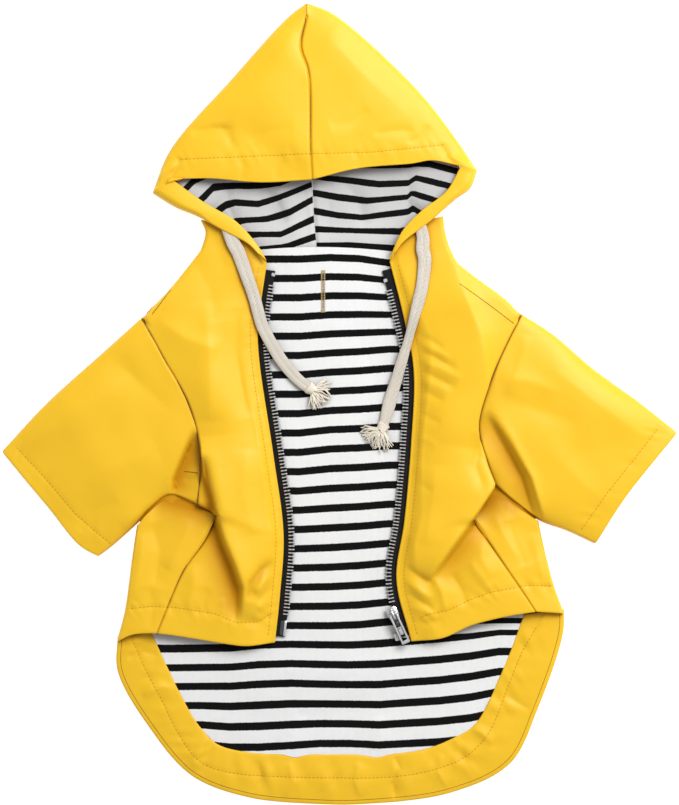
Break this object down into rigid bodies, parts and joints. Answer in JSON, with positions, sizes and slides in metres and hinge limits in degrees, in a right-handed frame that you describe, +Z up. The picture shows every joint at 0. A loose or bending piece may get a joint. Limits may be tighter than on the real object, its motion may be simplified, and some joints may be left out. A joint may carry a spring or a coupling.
{
  "type": "dog raincoat with hood",
  "caption": "Hooded raincoat for a small dog, lying flat and unzipped: coated shell, striped jersey lining, short sleeves, curved tail, drawstring.",
  "frame": {"origin": "centre of the outline on the surface that the coat lies on", "axes": "+Z up out of that surface, +Y from the tail to the hood peak, +X to the right as seen from above"},
  "size_m": [0.438, 0.5212, 0.017],
  "materials": {
    "shell_cloth": "coated, soft sheen",
    "striped_jersey": "matte jersey with black stripes",
    "zip_tape": "matte woven tape",
    "zip_metal": "polished",
    "zip_film": "glossy film over tape",
    "cotton_cord": "matte cotton braid"
  },
  "bodies": {
    "coat": {"back_panel": "shell_cloth", "side_wrap_left": "shell_cloth", "side_wrap_right": "shell_cloth", "front_left": "shell_cloth", "front_right": "shell_cloth", "sleeve_left": "shell_cloth", "sleeve_right": "shell_cloth", "hood_left": "shell_cloth", "hood_right": "shell_cloth", "hood_back_left": "shell_cloth", "hood_back_right": "shell_cloth", "tail_facing": "shell_cloth", "back_lining": "striped_jersey", "hood_lining_left": "striped_jersey", "hood_lining_right": "striped_jersey", "zip_tape_left": "zip_tape", "zip_tape_right": "zip_tape", "zip_teeth_left": "zip_metal", "zip_teeth_right": "zip_metal", "zip_stop_left": "zip_metal", "zip_stop_right": "zip_metal", "zip_pin": "zip_film", "zip_box": "zip_metal", "zip_slider": "zip_metal", "drawstring_left": "cotton_cord", "drawstring_right": "cotton_cord", "drawstring_knot_left": "cotton_cord", "drawstring_knot_right": "cotton_cord"},
    "pull_tab": {"zip_pull_tab": "zip_metal"}
  },
  "joints": [
    {"name": "pull_tab_hinge", "type": "hinge", "parent": "coat", "child": "pull_tab", "pos_m": [0.0348, -0.1372, 0.0077], "axis": [-0.9078, -0.4194, 0], "range_deg": [0, 165]}
  ]
}
